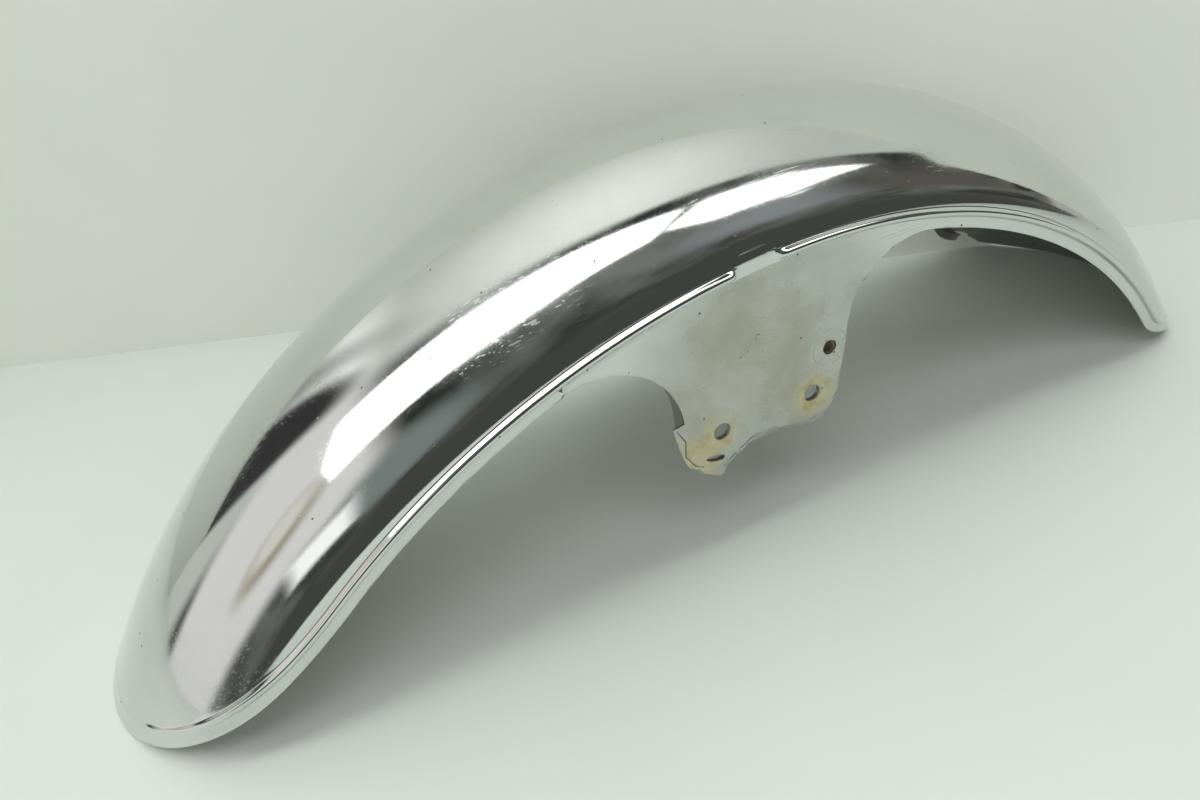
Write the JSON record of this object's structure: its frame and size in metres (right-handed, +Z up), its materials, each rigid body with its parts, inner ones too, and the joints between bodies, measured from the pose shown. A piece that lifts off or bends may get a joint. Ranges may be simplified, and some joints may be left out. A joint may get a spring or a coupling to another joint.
{
  "type": "motorcycle front mudguard",
  "caption": "Chromed round-crowned front mudguard with a beaded rim, rounded tips and an ear on each side that bolts to a fork leg.",
  "frame": {"origin": "on the floor below the middle of the guard's length, where it stands on its two tips", "axes": "+X forwards along the wheel, towards the tip of the tighter arc; +Z up, from the tips towards the crown; +Y to the right ear"},
  "size_m": [0.6446, 0.174, 0.19],
  "materials": {
    "chrome_plate": "aged chrome plate, lightly pitted and hazed",
    "dull_plate": "dull plated steel with some rust",
    "nut_steel": "dark steel"
  },
  "bodies": {
    "root": {"blade": "chrome_plate", "inner_bridge": "dull_plate", "left_weld_nut": "nut_steel", "right_weld_nut": "nut_steel"}
  },
  "joints": []
}
